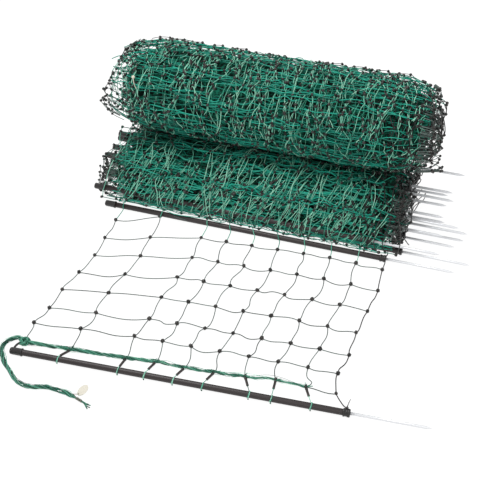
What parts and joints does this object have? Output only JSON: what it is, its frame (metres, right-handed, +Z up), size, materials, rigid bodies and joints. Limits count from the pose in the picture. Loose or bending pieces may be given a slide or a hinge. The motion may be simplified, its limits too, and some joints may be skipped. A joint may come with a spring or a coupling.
{
  "type": "electric fence netting",
  "caption": "Bundle of electric fence netting for small animals: green knotted net on plastic posts with steel ground spikes, folded and rolled, with one post and a stretch of net laid out in front.",
  "frame": {"origin": "on the floor, under the middle of the folded net", "axes": "+X along the bundled posts towards their spikes, +Y away from the post that is laid out in front, +Z up"},
  "size_m": [0.9603, 0.9716, 0.3433],
  "materials": {
    "post_plastic": "extruded plastic with a soft gloss",
    "black_plastic": "moulded plastic",
    "spike_steel": "bright galvanised wire steel",
    "net_twine": "twisted green polythene twine with pale filaments",
    "net_knots": "black welded knots",
    "lead_cord": "twisted green cord",
    "tag_card": "bare cream tag"
  },
  "bodies": {
    "root": {"post_01": "post_plastic", "spike_01": "spike_steel", "post_02": "post_plastic", "spike_02": "spike_steel", "post_03": "post_plastic", "spike_03": "spike_steel", "post_04": "post_plastic", "spike_04": "spike_steel", "post_05": "post_plastic", "spike_05": "spike_steel", "post_06": "post_plastic", "spike_06": "spike_steel", "post_07": "post_plastic", "spike_07": "spike_steel", "post_08": "post_plastic", "spike_08": "spike_steel", "post_09": "post_plastic", "spike_09": "spike_steel", "post_10": "post_plastic", "spike_10": "spike_steel", "post_11": "post_plastic", "spike_11": "spike_steel", "post_12": "post_plastic", "spike_12": "spike_steel", "post_13": "post_plastic", "spike_13": "spike_steel", "post_14": "post_plastic", "spike_14": "spike_steel", "post_15": "post_plastic", "spike_15": "spike_steel", "netting_stack": "net_twine", "netting_roll": "net_twine", "first_post": "post_plastic", "first_spike": "spike_steel", "first_foot": "black_plastic", "first_cap": "black_plastic", "lead_knot": "lead_cord", "lead_bundle": "lead_cord", "tie_1": "lead_cord", "insulator_1": "black_plastic", "tie_2": "lead_cord", "insulator_2": "black_plastic", "tie_3": "lead_cord", "insulator_3": "black_plastic", "tie_4": "lead_cord", "insulator_4": "black_plastic", "tie_5": "lead_cord", "insulator_5": "black_plastic", "tie_6": "lead_cord", "insulator_6": "black_plastic", "tie_7": "lead_cord", "insulator_7": "black_plastic", "tie_8": "lead_cord", "insulator_8": "black_plastic", "apron_net": "net_twine", "lead_tail": "lead_cord", "lead_tag": "tag_card"}
  },
  "joints": []
}
